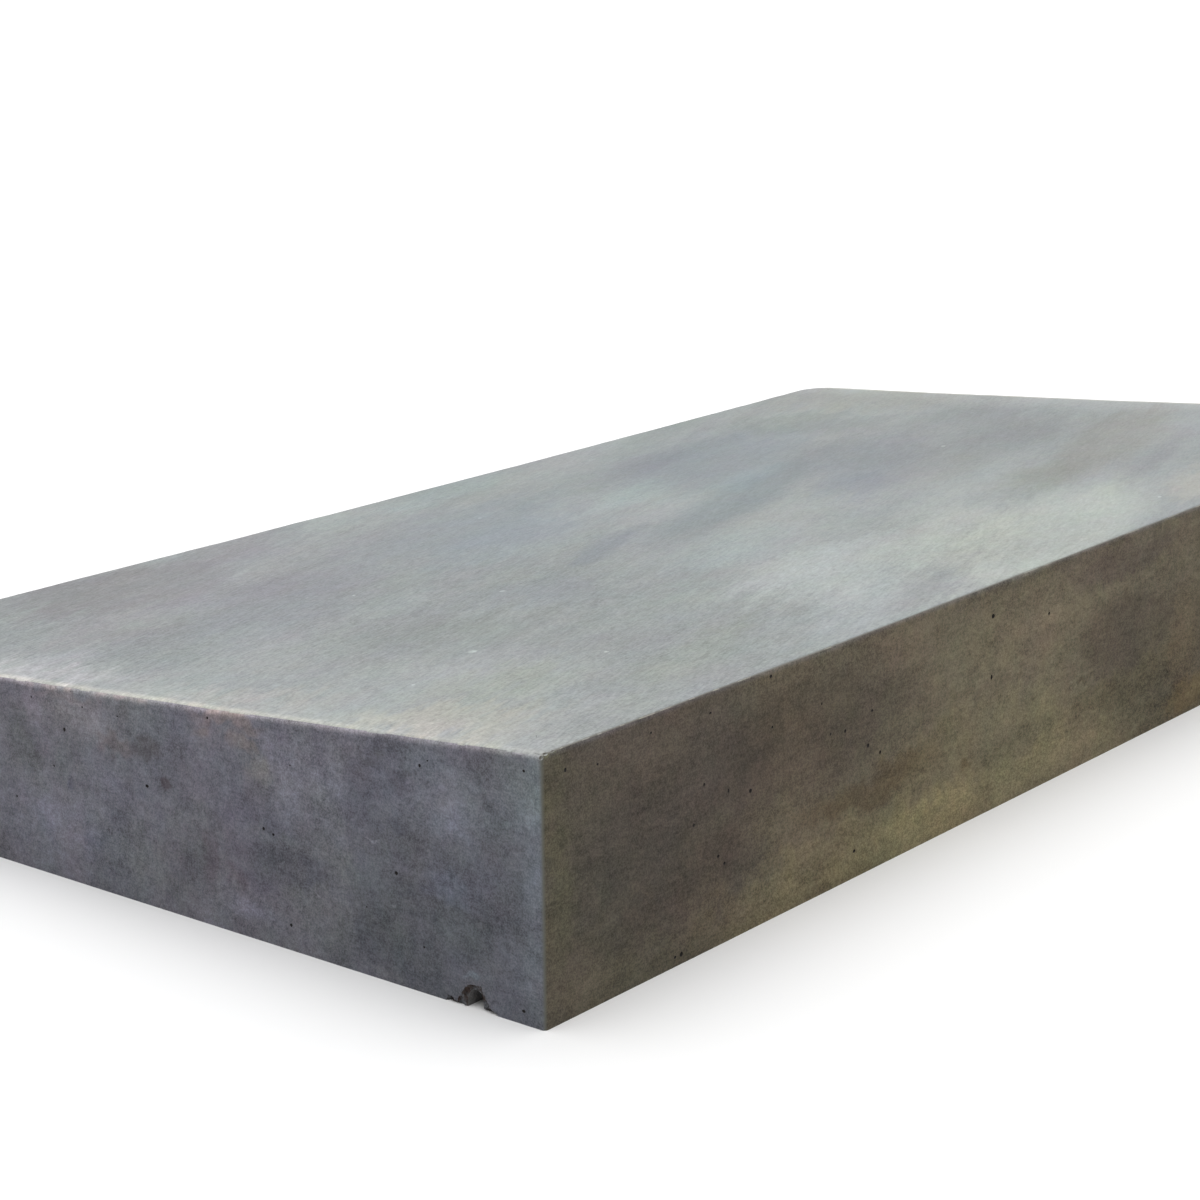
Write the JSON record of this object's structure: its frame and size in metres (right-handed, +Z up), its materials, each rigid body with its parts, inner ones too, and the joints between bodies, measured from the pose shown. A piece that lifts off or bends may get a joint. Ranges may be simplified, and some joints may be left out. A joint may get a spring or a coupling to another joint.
{
  "type": "concrete coping stone",
  "caption": "Flat-bedded cast concrete coping stone for the top of a wall, with a top that falls to one side, a drip groove under each long edge and one rounded corner.",
  "frame": {"origin": "middle of the flat bed, on which the stone lies", "axes": "+X along the wall, +Y across the wall towards the thin edge, +Z up"},
  "size_m": [0.6, 0.325, 0.0799],
  "materials": {
    "cast_concrete": "matte"
  },
  "bodies": {
    "root": {"coping_stone": "cast_concrete"}
  },
  "joints": []
}
